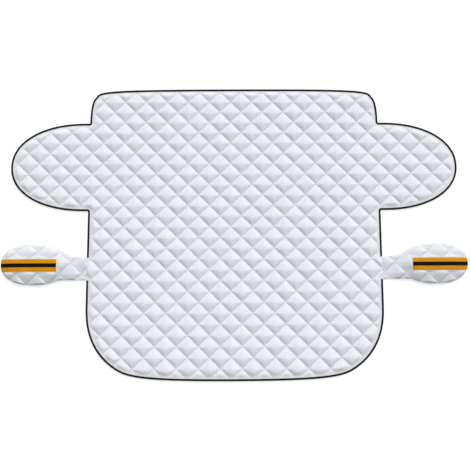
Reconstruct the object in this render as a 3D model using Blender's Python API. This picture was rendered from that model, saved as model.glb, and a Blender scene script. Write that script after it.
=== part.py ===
"""Windshield frost cover, laid out flat.

A white quilted panel with a rounded wing at each side, a folded black binding round its edge, and
a quilted mirror pocket on a neck strap at each side with an orange and black warning tape.
Metres, +Z up. X runs across the windshield, +Y points to its roof edge, and z = 0 is the surface
that the cover lies on. The origin is under the middle of the body.
"""
import math

import bmesh
import bpy
import numpy as np
from mathutils import Vector
from mathutils.geometry import delaunay_2d_cdt

# Padded sheet, pressed flat along every cut edge
EDGE_THICKNESS = 0.0024
EDGE_LIFT = 0.0015          # the pressed edge lies this far above the surface below
CLEARANCE = 0.0003          # between pieces that are sewn together
SEAM_SPACING = 0.065        # between parallel quilting seams, which run at 45 degrees
PUFF_HEIGHT = 0.0075        # crown of a diamond above its seams
PUFF_FULLNESS = 2.5         # exponent of the puff's section, higher is flatter on top
PUFF_SHOULDER = 0.27        # where a puff turns over, as a share of the seam spacing
PUFF_FADE = 0.012           # the puffs rise to full height over this distance from the edge

# Body of the panel
PANEL_WIDTH = 1.254
PANEL_HEIGHT = 1.256
PANEL_CROSSING = (0.030, -0.027)     # a crossing of two seams near the middle
TOP_CORNER_IN = 0.0258      # the top corner's steepest turn, in from the side
TOP_CORNER_DOWN = 0.0308    # and down from the top edge
TOP_CORNER_SLOPE = math.radians(66)
BOTTOM_CORNER_IN = 0.1215
BOTTOM_CORNER_UP = 0.0518
BOTTOM_CORNER_SLOPE = math.radians(34)
BOTTOM_CORNER_RISE = 0.311  # the side is straight above this height over the bottom edge

# Wings
WING_REACH = 0.337          # from the body's side to the wing's tip
WING_HEIGHT = 0.3854
WING_DROP = 0.1535          # from the top edge down to the wing
WING_STRAIGHT = 0.0205      # straight run at the root before the wing rounds off
WING_FULLNESS = 2.14        # exponent of the superellipse, 2 is a plain ellipse
NOTCH_RADIUS = 0.004        # inner corner between body and wing

# Folded tape
TAPE_THICKNESS = 0.0007
BINDING_WIDTH = 0.008
ELASTIC_WIDTH = 0.008
EDGE_MARGIN = 0.002         # flat sheet left showing beside a folded tape

# Mirror pockets and their neck straps, given for the side of +X
NECK_HEIGHT = 0.097
NECK_DOWN_SIDE = 0.613      # place of the neck on the straight side, 0 at the wing, 1 at the corner
NECK_FLAT = 0.020           # the neck lies flat for this far from the panel
POCKET_REACH = 0.364        # from the body's side to the pocket's tip
POCKET_HEIGHT = 0.173
POCKET_LIFT = 0.018         # the pocket's middle sits above the neck's
POCKET_WIDEST = 0.235       # from the body's side to the pocket's widest place
POCKET_RISE = 0.017         # how high the pocket's front bulges
POCKET_SOFTNESS = 0.6       # exponent of the bulge, lower is rounder at the edge
POCKET_SHOULDER = 0.060     # the bulge levels off this far in from the edge
POCKET_CLIMB = 0.110        # the neck climbs to the bulge over this length
SEAM_ALLOWANCE = 0.0015     # the sewn edge of the pocket's front and back
BAG_DEPTH = 0.201           # from the pocket's tip to its mouth
MOUTH_CURVE = 0.014         # the elastic pulls the middle of the mouth in by this much
BACK_PUFF_HEIGHT = 0.004
ELASTIC_SET_IN = 0.007      # the elastic ends this far inside the pocket's side seams
RIGHT_CROSSING = (0.817, -0.091)     # a seam crossing on each pocket
LEFT_CROSSING = (0.834, -0.089)

# Warning tape
WARNING_WIDTH = 0.052
WARNING_LENGTH = 0.2385     # from the pocket's tip
WARNING_DROP = 0.003        # its centre line below the pocket's middle
WARNING_THICKNESS = 0.0008
STRIPE_WIDTH = 0.0163
STRIPE_THICKNESS = 0.0006
PRESSED_PUFF = 0.003        # padding left under the warning tape
PRESSED_FADE = 0.012

HALF_WIDTH = PANEL_WIDTH / 2
HALF_HEIGHT = PANEL_HEIGHT / 2
WING_TOP = HALF_HEIGHT - WING_DROP
WING_LOW = WING_TOP - WING_HEIGHT
CORNER_START = BOTTOM_CORNER_RISE - HALF_HEIGHT
NECK_MIDDLE = WING_LOW + NECK_DOWN_SIDE * (CORNER_START - WING_LOW)
NECK_TOP = NECK_MIDDLE + NECK_HEIGHT / 2
NECK_LOW = NECK_MIDDLE - NECK_HEIGHT / 2
POCKET_MIDDLE = NECK_MIDDLE + POCKET_LIFT
POCKET_TIP = HALF_WIDTH + POCKET_REACH
MOUTH_X = POCKET_TIP - BAG_DEPTH
EDGE_TOP = EDGE_LIFT + EDGE_THICKNESS
WARNING_Y = POCKET_MIDDLE - WARNING_DROP

for old in list(bpy.data.objects):
    bpy.data.objects.remove(old)

cover = bpy.data.collections.new("windshield_frost_cover")
bpy.context.scene.collection.children.link(cover)


def material(name, colour, roughness):
    made = bpy.data.materials.new(name)
    made.use_nodes = True
    made.diffuse_color = (*colour, 1)
    shader = made.node_tree.nodes["Principled BSDF"]
    shader.inputs["Base Color"].default_value = (*colour, 1)
    shader.inputs["Roughness"].default_value = roughness
    shader.inputs["Metallic"].default_value = 0
    return made


QUILTED_FABRIC = material("white_quilted_fabric", (0.76, 0.79, 0.83), 0.85)
BINDING_FABRIC = material("black_binding", (0.012, 0.012, 0.014), 0.8)
ELASTIC_FABRIC = material("black_elastic", (0.02, 0.02, 0.022), 0.75)
WARNING_FABRIC = material("orange_warning_tape", (0.70, 0.27, 0.015), 0.6)
STRIPE_FABRIC = material("black_warning_stripe", (0.010, 0.008, 0.006), 0.5)


def curve(start, out_handle, in_handle, end, steps):
    """Points of a cubic curve. Each handle is given as an offset from its own end."""
    t = np.linspace(0, 1, steps + 1)[:, None]
    a, d = np.array(start), np.array(end)
    b, c = a + out_handle, d + in_handle
    return (1 - t) ** 3 * a + 3 * (1 - t) ** 2 * t * b + 3 * (1 - t) * t ** 2 * c + t ** 3 * d


def arc(centre, radius, start, end, steps):
    angle = np.radians(np.linspace(start, end, steps + 1))
    return np.array(centre) + radius * np.c_[np.cos(angle), np.sin(angle)]


def wing_outline():
    """The right wing from its top inner corner round the tip to its lower one, as a superellipse."""
    turn = np.linspace(np.pi / 2, -np.pi / 2, 33)
    power = 2 / WING_FULLNESS
    root = HALF_WIDTH + WING_STRAIGHT
    x = root + (WING_REACH - WING_STRAIGHT) * np.cos(turn).clip(0) ** power
    y = (WING_TOP + WING_LOW + WING_HEIGHT * np.sign(turn) * np.abs(np.sin(turn)) ** power) / 2
    notch_x = HALF_WIDTH + NOTCH_RADIUS
    above = arc((notch_x, WING_TOP + NOTCH_RADIUS), NOTCH_RADIUS, 180, 270, 3)
    below = arc((notch_x, WING_LOW - NOTCH_RADIUS), NOTCH_RADIUS, 90, 180, 3)
    return np.vstack([above, np.c_[x, y], below])


def upper_half(end_y):
    """The right half of the edge, clockwise from the middle of the top to end_y on the side."""
    turn = np.array([HALF_WIDTH - TOP_CORNER_IN, HALF_HEIGHT - TOP_CORNER_DOWN])
    along = np.array([math.cos(TOP_CORNER_SLOPE), -math.sin(TOP_CORNER_SLOPE)])
    wing = wing_outline()
    drop = turn[1] - wing[0][1]
    top = curve((0, HALF_HEIGHT), (0.87 * turn[0], 0), -1.08 * TOP_CORNER_IN * along, turn, 9)
    side = curve(turn, 0.48 * TOP_CORNER_IN * along, (0, 0.92 * drop), wing[0], 7)
    return np.vstack([top, side[1:-1], wing, [(HALF_WIDTH, end_y)]])


def lower_half(start_y):
    """The right half of the edge, clockwise from start_y on the side to the middle of the bottom."""
    turn = np.array([HALF_WIDTH - BOTTOM_CORNER_IN, BOTTOM_CORNER_UP - HALF_HEIGHT])
    along = np.array([-math.cos(BOTTOM_CORNER_SLOPE), -math.sin(BOTTOM_CORNER_SLOPE)])
    start = (HALF_WIDTH, CORNER_START)
    rise = BOTTOM_CORNER_RISE - BOTTOM_CORNER_UP
    side = curve(start, (0, -0.2 * rise), -1.2 * BOTTOM_CORNER_IN * along, turn, 10)
    bottom = curve(turn, 0.53 * BOTTOM_CORNER_IN * along, (0.78 * turn[0], 0), (0, -HALF_HEIGHT), 9)
    return np.vstack([[(HALF_WIDTH, start_y)], side, bottom[1:]])


def pocket_outline():
    """The right pocket's front, clockwise from the top of the neck round to its lower edge."""
    widest = HALF_WIDTH + POCKET_WIDEST
    top, low = POCKET_MIDDLE + POCKET_HEIGHT / 2, POCKET_MIDDLE - POCKET_HEIGHT / 2
    near = HALF_WIDTH + CLEARANCE
    far = POCKET_TIP - widest
    run = widest - near
    neck_end = (near + 0.44 * run, NECK_LOW)
    upper = curve((near, NECK_TOP), (0.58 * run, 0), (-0.66 * run, 0), (widest, top), 10)
    nose = curve((widest, top), (0.40 * far, 0), (0, 0.85 * (top - POCKET_MIDDLE)),
                 (POCKET_TIP, POCKET_MIDDLE), 9)
    chin = curve((POCKET_TIP, POCKET_MIDDLE), (0, 0.45 * (low - POCKET_MIDDLE)), (0.70 * far, 0),
                 (widest, low), 9)
    lower = curve((widest, low), (-0.44 * run, 0), (0.17 * run, 0), neck_end, 7)
    return np.vstack([upper, nose[1:], chin[1:], lower[1:], [(near, NECK_LOW)]])


def inset(loop, distance):
    """A closed counter-clockwise outline moved inwards by distance, with mitred corners."""
    before = loop - np.roll(loop, 1, axis=0)
    before = before / np.linalg.norm(before, axis=1)[:, None]
    after = np.roll(before, -1, axis=0)
    turned = [np.c_[-way[:, 1], way[:, 0]] for way in (before, after)]
    meeting = 1 + (turned[0] * turned[1]).sum(1)
    return loop + distance * (turned[0] + turned[1]) / meeting[:, None]


def depth(points, loop):
    """Distance of each point to the nearest stretch of a closed outline."""
    start, way = loop[None], (np.roll(loop, -1, axis=0) - loop)[None]
    share = ((points[:, None] - start) * way).sum(2) / (way ** 2).sum(2)
    nearest = start + share.clip(0, 1)[..., None] * way
    return np.linalg.norm(points[:, None] - nearest, axis=2).min(1)


def inside(points, loop):
    """True where a point lies in a closed outline: a ray from it crosses the outline an odd number
    of times."""
    x, y = points[:, :1], points[:, 1:]
    a, b = loop, np.roll(loop, -1, axis=0)
    spans = (a[:, 1] > y) != (b[:, 1] > y)
    rise = np.where(b[:, 1] == a[:, 1], 1, b[:, 1] - a[:, 1])
    crossing = a[:, 0] + (y - a[:, 1]) * (b[:, 0] - a[:, 0]) / rise
    return (spans & (x < crossing)).sum(1) % 2 == 1


def ease(share):
    """A smooth step from 0 to 1."""
    share = np.clip(share, 0, 1)
    return share ** 2 * (3 - 2 * share)


def seam_axes():
    return SEAM_SPACING * np.array([[1, 1], [1, -1]]) / math.sqrt(2)


def puff(points, crossing):
    """0 on the seams and 1 at the middle of each diamond: the product of one rounded section
    across each of its two ways."""
    place = (points - np.array(crossing)) @ np.linalg.inv(seam_axes())
    section = 1 - np.abs(2 * (place % 1) - 1) ** PUFF_FULLNESS
    return section[:, 0] * section[:, 1]


def quilting(ring, crossing):
    """The points and lines of the diamonds that a closed outline covers: the seams from crossing to
    crossing, and in each diamond four shoulder points and a crown."""
    axes, origin = seam_axes(), np.array(crossing)
    place = (ring - origin) @ np.linalg.inv(axes)
    low, high = np.floor(place.min(0)), np.ceil(place.max(0))
    i, j = np.meshgrid(np.arange(low[0], high[0] + 1), np.arange(low[1], high[1] + 1), indexing="ij")
    node = np.arange(i.size).reshape(i.shape)
    points = [origin + np.c_[i.ravel(), j.ravel()] @ axes]
    links = [np.c_[node[:-1].ravel(), node[1:].ravel()],
             np.c_[node[:, :-1].ravel(), node[:, 1:].ravel()]]
    cell = np.c_[i[:-1, :-1].ravel(), j[:-1, :-1].ravel()]
    count = i.size
    for a in (0, 1):
        for b in (0, 1):
            corner = node[a:node.shape[0] - 1 + a, b:node.shape[1] - 1 + b].ravel()
            share = np.array([a, b]) + PUFF_SHOULDER * (1 - 2 * np.array([a, b]))
            shoulder = origin + (cell + share) @ axes
            kept = inside(shoulder, ring) & (depth(shoulder, ring) > 0.08 * SEAM_SPACING)
            points.append(shoulder[kept])
            links.append(np.c_[corner[kept], count + np.arange(kept.sum())])
            count += kept.sum()
    crown = origin + (cell + 0.5) @ axes
    points.append(crown[inside(crown, ring) & (depth(crown, ring) > 0.08 * SEAM_SPACING)])
    return np.vstack(points), np.vstack(links)


def net(loops, points=(), links=()):
    """Triangles between closed outlines, the first of which is the outermost, with every outline
    and link kept as an edge. Returns corners, edges and triangles."""
    corners, edges = [], []
    for loop in loops:
        first = len(corners)
        corners += [Vector(place) for place in loop]
        edges += [(first + n, first + (n + 1) % len(loop)) for n in range(len(loop))]
    edges += [(int(a) + len(corners), int(b) + len(corners)) for a, b in links]
    corners += [Vector(place) for place in points]
    found, sides, faces = delaunay_2d_cdt(corners, edges, [], 0, 0.0003)[:3]
    found = np.array([tuple(place) for place in found])
    middles = np.array([found[list(face)].mean(0) for face in faces])
    faces = [face for face, kept in zip(faces, inside(middles, loops[0])) if kept]
    return found, sides, faces


def quilted_net(outline, rings, ring, crossing, lines=()):
    """The net of a quilted sheet. The quilting and any further closed lines fill the innermost ring,
    and plain rings lead from there to the outline."""
    points, links = quilting(ring, crossing)
    for line in lines:
        first = len(points)
        points = np.vstack([points, line])
        links = np.vstack([links, [(first + n, first + (n + 1) % len(line)) for n in range(len(line))]])
    found, _, faces = net([ring], points, links)
    used = sorted({corner for face in faces for corner in face})
    place = {corner: n for n, corner in enumerate(used)}
    sides = {tuple(sorted((place[face[n]], place[face[n - 1]]))) for face in faces for n in range(3)}
    return net([outline, *rings], found[used], sorted(sides))


def add_object(name, mesh, finish):
    made = bpy.data.objects.new(name, mesh)
    mesh.materials.append(finish)
    cover.objects.link(made)
    return made


def sheet(name, top_net, top, under_net, underside, finish, side=1):
    """A closed padded sheet: one net carried to each of two height formulas, joined round the edge.
    side is -1 for a piece of the left side, which is the mirror image."""
    bm = bmesh.new()

    def skin(drawn, height):
        places = np.c_[drawn[0], height(drawn[0])] * (side, 1, 1)
        corners = [bm.verts.new(place) for place in places]
        return [bm.faces.new([corners[n] for n in face]) for face in drawn[2]]

    skin(top_net, top)
    for loose in [v for v in bm.verts if not v.link_faces]:
        bm.verts.remove(loose)
    rim = [edge for edge in bm.edges if edge.is_boundary]
    wall = bmesh.ops.extrude_edge_only(bm, edges=rim)["geom"]
    fallen = [item for item in wall if isinstance(item, bmesh.types.BMVert)]
    places = np.array([(v.co.x * side, v.co.y) for v in fallen])
    for vert, low in zip(fallen, underside(places)):
        vert.co.z = low
    skin(under_net, underside)
    for loose in [v for v in bm.verts if not v.link_faces]:
        bm.verts.remove(loose)
    bmesh.ops.remove_doubles(bm, verts=bm.verts, dist=0.00001)
    bmesh.ops.recalc_face_normals(bm, faces=bm.faces)
    mesh = bpy.data.meshes.new(name)
    bm.to_mesh(mesh)
    bm.free()
    mesh.shade_smooth()
    mesh.set_sharp_from_angle(angle=math.radians(40))
    return add_object(name, mesh, finish)


def folded_tape(name, path, width, finish, side=1):
    """A tape folded over a sheet's edge: a U section carried along the edge, which path gives
    clockwise."""
    outer = CLEARANCE + TAPE_THICKNESS
    low, high = EDGE_LIFT - outer, EDGE_TOP + outer
    soft = TAPE_THICKNESS
    section = [(outer - width, high), (outer - soft, high), (outer, high - soft), (outer, low + soft),
               (outer - soft, low), (outer - width, low), (outer - width, low + TAPE_THICKNESS),
               (CLEARANCE, low + TAPE_THICKNESS), (CLEARANCE, high - TAPE_THICKNESS),
               (outer - width, high - TAPE_THICKNESS)]
    profile = bpy.data.curves.new(name + "_section", "CURVE")
    profile.dimensions = "2D"
    drawn = profile.splines.new("POLY")
    drawn.points.add(len(section) - 1)
    drawn.use_cyclic_u = True
    for point, (out, height) in zip(drawn.points, section):
        point.co = (-out * side, height, 0, 1)
    guide = bpy.data.objects.new(name + "_section", profile)
    line = bpy.data.curves.new(name + "_line", "CURVE")
    line.dimensions = "3D"
    line.twist_mode = "Z_UP"
    line.bevel_mode = "OBJECT"
    line.bevel_object = guide
    line.use_fill_caps = True
    run = line.splines.new("POLY")
    run.points.add(len(path) - 1)
    for point, (x, y) in zip(run.points, path):
        point.co = (x * side, y, 0, 1)
    swept = bpy.data.objects.new(name + "_line", line)
    for piece in (guide, swept):
        cover.objects.link(piece)
    mesh = bpy.data.meshes.new_from_object(swept.evaluated_get(bpy.context.evaluated_depsgraph_get()))
    for piece in (swept, guide):
        bpy.data.objects.remove(piece)
    bm = bmesh.new()
    bm.from_mesh(mesh)
    bmesh.ops.remove_doubles(bm, verts=bm.verts, dist=0.00001)
    bmesh.ops.recalc_face_normals(bm, faces=bm.faces)
    bm.to_mesh(mesh)
    bm.free()
    mesh.name = name
    return add_object(name, mesh, finish)


def laid_tape(name, carrier, outline, half_width, lift, thickness, finish, side):
    """A flat tape sewn over a sheet: the sheet's own top faces within the tape, lifted clear of it
    and given the tape's thickness."""
    bm = bmesh.new()
    bm.from_mesh(carrier.data)
    middles = np.array([face.calc_center_median()[:2] for face in bm.faces]) * (side, 1)
    upward = np.array([face.normal.z > 0.1 for face in bm.faces])
    covered = (upward & (np.abs(middles[:, 1] - WARNING_Y) < half_width)
               & (middles[:, 0] > POCKET_TIP - WARNING_LENGTH)
               & (depth(middles, outline) > SEAM_ALLOWANCE))
    bare = [face for face, kept in zip(list(bm.faces), covered) if not kept]
    bmesh.ops.delete(bm, geom=bare, context="FACES")
    bmesh.ops.translate(bm, verts=bm.verts, vec=(0, 0, lift))
    raised = bmesh.ops.extrude_face_region(bm, geom=list(bm.faces), use_keep_orig=True)["geom"]
    corners = [item for item in raised if isinstance(item, bmesh.types.BMVert)]
    bmesh.ops.translate(bm, verts=corners, vec=(0, 0, thickness))
    bmesh.ops.recalc_face_normals(bm, faces=bm.faces)
    mesh = bpy.data.meshes.new(name)
    bm.to_mesh(mesh)
    bm.free()
    return add_object(name, mesh, finish)


# Panel
right_edge = np.vstack([upper_half(NECK_TOP), lower_half(NECK_LOW)])
panel_loop = np.vstack([right_edge, (right_edge[::-1] * (-1, 1))[1:-1]])[::-1]
panel_margin = BINDING_WIDTH + EDGE_MARGIN
panel_ring = inset(panel_loop, panel_margin)


def panel_top(points):
    risen = ease((depth(points, panel_loop) - panel_margin) / PUFF_FADE)
    return EDGE_TOP + PUFF_HEIGHT * risen * puff(points, PANEL_CROSSING)


def panel_underside(points):
    """Flat on the ground, lifted only where the binding wraps the edge."""
    return EDGE_LIFT * (2 - depth(points, panel_loop) / panel_margin).clip(0, 1)


sheet("cover_panel", quilted_net(panel_loop, [], panel_ring, PANEL_CROSSING), panel_top,
      net([panel_loop, panel_ring, inset(panel_loop, 2 * panel_margin)]), panel_underside,
      QUILTED_FABRIC)

# Binding, in two runs that stop at the neck straps
upper_right = upper_half(NECK_TOP + CLEARANCE)
upper_run = np.vstack([upper_right[::-1] * (-1, 1), upper_right[1:]])
folded_tape("upper_binding", upper_run, BINDING_WIDTH, BINDING_FABRIC)
lower_right = lower_half(NECK_LOW - CLEARANCE)
lower_run = np.vstack([lower_right, (lower_right[::-1] * (-1, 1))[1:]])
folded_tape("lower_binding", lower_run, BINDING_WIDTH, BINDING_FABRIC)

# Mirror pockets
front_edge = pocket_outline()
front_loop = front_edge[::-1]
tip = int(front_edge[:, 0].argmax())
mouth_top = np.interp(MOUTH_X, front_edge[:tip, 0], front_edge[:tip, 1])
mouth_low = np.interp(MOUTH_X, front_edge[:tip:-1, 0], front_edge[:tip:-1, 1])
across = np.linspace(-1, 1, 9)
mouth = np.c_[MOUTH_X + MOUTH_CURVE * (1 - across ** 2),
              (mouth_top + mouth_low + (mouth_top - mouth_low) * across) / 2]
kept_edge = front_edge[front_edge[:, 0] > MOUTH_X + 0.02 * BAG_DEPTH]
back_loop = np.vstack([kept_edge, mouth])[::-1]
back_margin = ELASTIC_WIDTH + EDGE_MARGIN


def front_base(points):
    """Inner face of the pocket's front. It lies on the back's sewn edge, bulges between the edges,
    and comes down to the panel's edge along the neck."""
    from_panel = points[:, 0] - HALF_WIDTH - NECK_FLAT
    mouth_distance = MOUTH_X - HALF_WIDTH - NECK_FLAT - EDGE_MARGIN
    rest = EDGE_LIFT + (EDGE_THICKNESS + CLEARANCE) * ease(from_panel / mouth_distance)
    within = (depth(points, front_loop) - SEAM_ALLOWANCE).clip(0, POCKET_SHOULDER)
    bulge = (1 - (1 - within / POCKET_SHOULDER) ** 2) ** POCKET_SOFTNESS
    return rest + POCKET_RISE * bulge * ease(from_panel / POCKET_CLIMB)


def front_top(points, crossing):
    """Outer face of the pocket's front, its puffs pressed down under the warning tape."""
    beside = np.abs(points[:, 1] - WARNING_Y) - WARNING_WIDTH / 2
    before = POCKET_TIP - WARNING_LENGTH - points[:, 0]
    pressed = 1 - ease(np.maximum(beside, before) / PRESSED_FADE)
    risen = ease((depth(points, front_loop) - SEAM_ALLOWANCE) / PUFF_FADE)
    free = PUFF_HEIGHT * puff(points, crossing)
    padding = risen * (pressed * PRESSED_PUFF + (1 - pressed) * free)
    return front_base(points) + EDGE_THICKNESS + padding


def back_top(points, crossing):
    risen = ease((depth(points, back_loop) - back_margin) / PUFF_FADE)
    return EDGE_TOP + BACK_PUFF_HEIGHT * risen * puff(points, crossing)


def back_underside(points):
    return EDGE_LIFT * (2 - depth(points, back_loop) / back_margin).clip(0, 1)


def tape_lines(ring):
    """The edges of the orange and the black tape, and of the padding that they press down, each a
    closed rectangle that ends on the pocket's sewn edge."""
    nose = ring[ring[:, 0] > HALF_WIDTH + POCKET_WIDEST]
    nose = nose[nose[:, 1].argsort()]
    lines = []
    for half, start in ((STRIPE_WIDTH / 2, 0), (WARNING_WIDTH / 2, 0),
                        (WARNING_WIDTH / 2 + PRESSED_FADE, PRESSED_FADE)):
        near = POCKET_TIP - WARNING_LENGTH - start
        low, high = WARNING_Y - half, WARNING_Y + half
        far_low, far_high = np.interp((low, high), nose[:, 1], nose[:, 0])
        lines.append(np.array([(near, low), (far_low, low), (far_high, high), (near, high)]))
    return lines


def mirror_pocket(word, side, crossing):
    front_ring = inset(front_loop, SEAM_ALLOWANCE)
    round_ring = inset(front_loop, 4 * SEAM_ALLOWANCE)
    lines = tape_lines(front_ring)
    drawn = quilted_net(front_loop, [], front_ring, crossing, [*lines, round_ring])
    front = sheet(word + "_pocket_front", drawn, lambda points: front_top(points, crossing),
                  drawn, front_base, QUILTED_FABRIC, side)
    back_ring = inset(back_loop, back_margin)
    sheet(word + "_pocket_back", quilted_net(back_loop, [], back_ring, crossing),
          lambda points: back_top(points, crossing),
          net([back_loop, back_ring, inset(back_loop, 2 * back_margin)]), back_underside,
          QUILTED_FABRIC, side)
    run = mouth[(mouth[:, 1] > mouth_low + ELASTIC_SET_IN) & (mouth[:, 1] < mouth_top - ELASTIC_SET_IN)]
    folded_tape(word + "_mouth_elastic", run, ELASTIC_WIDTH, ELASTIC_FABRIC, side)
    laid_tape(word + "_warning_tape", front, front_loop, WARNING_WIDTH / 2, CLEARANCE,
              WARNING_THICKNESS, WARNING_FABRIC, side)
    laid_tape(word + "_warning_stripe", front, front_loop, STRIPE_WIDTH / 2,
              2 * CLEARANCE + WARNING_THICKNESS, STRIPE_THICKNESS, STRIPE_FABRIC, side)


mirror_pocket("right", 1, RIGHT_CROSSING)
mirror_pocket("left", -1, LEFT_CROSSING)
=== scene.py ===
"""Windshield frost cover, laid out flat on a pale floor and seen from above.

A white quilted panel with a wing at each side, a folded black binding, and at each side a quilted
mirror pocket on a neck strap with an orange and black warning tape. Metres, in the CAD's own frame:
+X runs across the windshield, +Y to its roof edge, and z = 0 is the surface that it lies on.
"""
import math

import bpy
import numpy as np
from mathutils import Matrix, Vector
from mathutils.geometry import delaunay_2d_cdt


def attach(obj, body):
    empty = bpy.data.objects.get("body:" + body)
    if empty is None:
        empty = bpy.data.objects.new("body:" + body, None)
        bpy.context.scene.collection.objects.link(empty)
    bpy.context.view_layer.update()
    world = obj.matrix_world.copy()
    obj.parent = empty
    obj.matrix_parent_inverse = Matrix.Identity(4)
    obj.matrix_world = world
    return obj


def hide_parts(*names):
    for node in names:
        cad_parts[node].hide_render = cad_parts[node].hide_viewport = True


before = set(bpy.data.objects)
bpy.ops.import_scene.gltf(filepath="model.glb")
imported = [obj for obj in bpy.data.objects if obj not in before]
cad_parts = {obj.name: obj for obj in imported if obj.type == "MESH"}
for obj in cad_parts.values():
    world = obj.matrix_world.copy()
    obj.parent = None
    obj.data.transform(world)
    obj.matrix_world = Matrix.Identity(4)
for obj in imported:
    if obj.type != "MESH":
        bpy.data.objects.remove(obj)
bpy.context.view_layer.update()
scene = bpy.context.scene
scene.view_settings.view_transform = "Standard"

# Camera: a 47 mm lens about 2.6 m above the cover and a little below its middle, tilted some
# 7 degrees towards the roof edge, as the photo was taken.
camera = bpy.data.objects.new("camera", bpy.data.cameras.new("camera"))
camera.data.lens = 47
camera.data.sensor_width = 36
camera.rotation_mode = "ZYX"
camera.rotation_euler = (0.126, -0.00463, -0.00429)
camera.location = (-0.01037, -0.34693, 2.60391)
scene.collection.objects.link(camera)
scene.camera = camera

# Studio light: one broad soft lamp beyond the roof edge, a little to the right, and an even white
# surround. Together they show a colour about as it is written.
SUN_AZIMUTH = math.radians(17.4)     # from +Y towards +X
SUN_HEIGHT = math.radians(36)
lamp = bpy.data.objects.new("studio_lamp", bpy.data.lights.new("studio_lamp", "SUN"))
lamp.data.energy = 2.88
lamp.data.angle = math.radians(14)
toward = Vector((math.sin(SUN_AZIMUTH) * math.cos(SUN_HEIGHT),
                 math.cos(SUN_AZIMUTH) * math.cos(SUN_HEIGHT), math.sin(SUN_HEIGHT)))
lamp.rotation_euler = toward.to_track_quat("Z", "Y").to_euler()
scene.collection.objects.link(lamp)
surround = bpy.data.worlds.new("surround")
surround.use_nodes = True
scene.world = surround


def node(tree, kind, feeds=None, **settings):
    """One shader node. feeds gives its sockets, by name or place, a value or another's output."""
    made = tree.nodes.new("ShaderNode" + kind)
    for word, value in settings.items():
        setattr(made, word, value)
    for place, value in (feeds or {}).items():
        if isinstance(value, bpy.types.NodeSocket):
            tree.links.new(value, made.inputs[place])
        else:
            made.inputs[place].default_value = value
    return made


def reckon(tree, operation, *values):
    """The output of a Math node."""
    return node(tree, "Math", dict(enumerate(values)), operation=operation).outputs[0]


def seen_straight(tree):
    """1 for what the camera sees itself, in a mirror or through glass, and 0 for what only lights."""
    path = node(tree, "LightPath").outputs
    seen = reckon(tree, "MAXIMUM", path["Is Camera Ray"], path["Is Glossy Ray"])
    return reckon(tree, "MAXIMUM", seen, path["Is Transmission Ray"])


SURROUND_LIGHT = 0.405
glow = reckon(surround.node_tree, "MULTIPLY_ADD", seen_straight(surround.node_tree),
              1 - SURROUND_LIGHT, SURROUND_LIGHT)
surround.node_tree.nodes["Background"].inputs["Color"].default_value = (1, 1, 1, 1)
surround.node_tree.links.new(glow, surround.node_tree.nodes["Background"].inputs["Strength"])


# Floor: smooth pale studio board. Seen straight it glows a little, so that it reads as white and
# still keeps the cover's shadow.
def finish_of(name, colour, roughness):
    """A new material, its node tree and its shader, with the plain colour and roughness set."""
    made = bpy.data.materials.new(name)
    made.use_nodes = True
    shader = made.node_tree.nodes["Principled BSDF"]
    shader.inputs["Base Color"].default_value = (*colour, 1)
    shader.inputs["Roughness"].default_value = roughness
    return made, made.node_tree, shader


def noise(tree, where, scale, detail=2.0, distortion=0.0):
    """Soft random cloud, 0 to 1."""
    feeds = {"Vector": where, "Scale": scale, "Detail": detail, "Distortion": distortion}
    return node(tree, "TexNoise", feeds).outputs["Fac"]


def relief(tree, shader, *layers):
    """Bump nodes over each other on the shader's normal. Each layer is a height over the surface,
    its depth in metres and its strength."""
    under = {}
    for height, depth, strength in layers:
        bump = node(tree, "Bump", {"Height": height, "Distance": depth, "Strength": strength, **under})
        under = {"Normal": bump.outputs[0]}
    tree.links.new(bump.outputs[0], shader.inputs["Normal"])


def put_piece(name, corners, faces, finish):
    """A mesh object at the origin, smooth shaded, from arrays of corners and faces."""
    mesh = bpy.data.meshes.new(name)
    mesh.from_pydata(np.asarray(corners).tolist(), [], np.asarray(faces).tolist())
    mesh.materials.append(finish)
    mesh.shade_smooth()
    made = bpy.data.objects.new(name, mesh)
    scene.collection.objects.link(made)
    return made


FLOOR_HALF = 12
FLOOR_DROP = 0.0004                  # just under the cover's flat underside
FLOOR_GLOW = 0.66
FLOOR_COLOUR = (0.46, 0.46, 0.46)
floor_finish, tree, shader = finish_of("pale_floor", FLOOR_COLOUR, 1.0)
shader.inputs["Specular IOR Level"].default_value = 0
relief(tree, shader, (noise(tree, node(tree, "TexCoord").outputs["Object"], 900.0), 0.00002, 1.0))
glow = reckon(tree, "MULTIPLY", seen_straight(tree), FLOOR_GLOW)
light = node(tree, "Emission", {"Color": (1, 1, 1, 1), "Strength": glow})
both = node(tree, "AddShader", {0: shader.outputs[0], 1: light.outputs[0]})
tree.links.new(both.outputs[0], tree.nodes["Material Output"].inputs["Surface"])
corner = np.array([(-1, -1, 0), (1, -1, 0), (1, 1, 0), (-1, 1, 0)]) * FLOOR_HALF - (0, 0, FLOOR_DROP)
floor = put_piece("floor", corner, [(0, 1, 2, 3)], floor_finish)

# Quilted panel: an outer fabric, wadding and a lining, quilted along crossing seams into diamonds of
# 65 mm, and cut in one piece with both wings. Its cut edge is pressed flat for the binding.
SEAM_SPACING = 0.065
EDGE_THICKNESS = 0.0024
EDGE_LIFT = 0.0015                   # the pressed edge lies this far above the surface below
EDGE_TOP = EDGE_LIFT + EDGE_THICKNESS
CLEARANCE = 0.0003                   # between pieces that are sewn together
HALF_WIDTH = 0.627
HALF_HEIGHT = 0.628
PANEL_CROSSING = np.array([0.030, -0.027])
TOP_CORNER_IN, TOP_CORNER_DOWN, TOP_CORNER_SLOPE = 0.0258, 0.0308, math.radians(66)
BOTTOM_CORNER_IN, BOTTOM_CORNER_UP, BOTTOM_CORNER_SLOPE = 0.1215, 0.0518, math.radians(34)
CORNER_START = -0.317
WING_REACH, WING_STRAIGHT, WING_FULLNESS = 0.337, 0.0205, 2.14
WING_TOP, WING_LOW = 0.4745, 0.0891
NOTCH_RADIUS = 0.004
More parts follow.
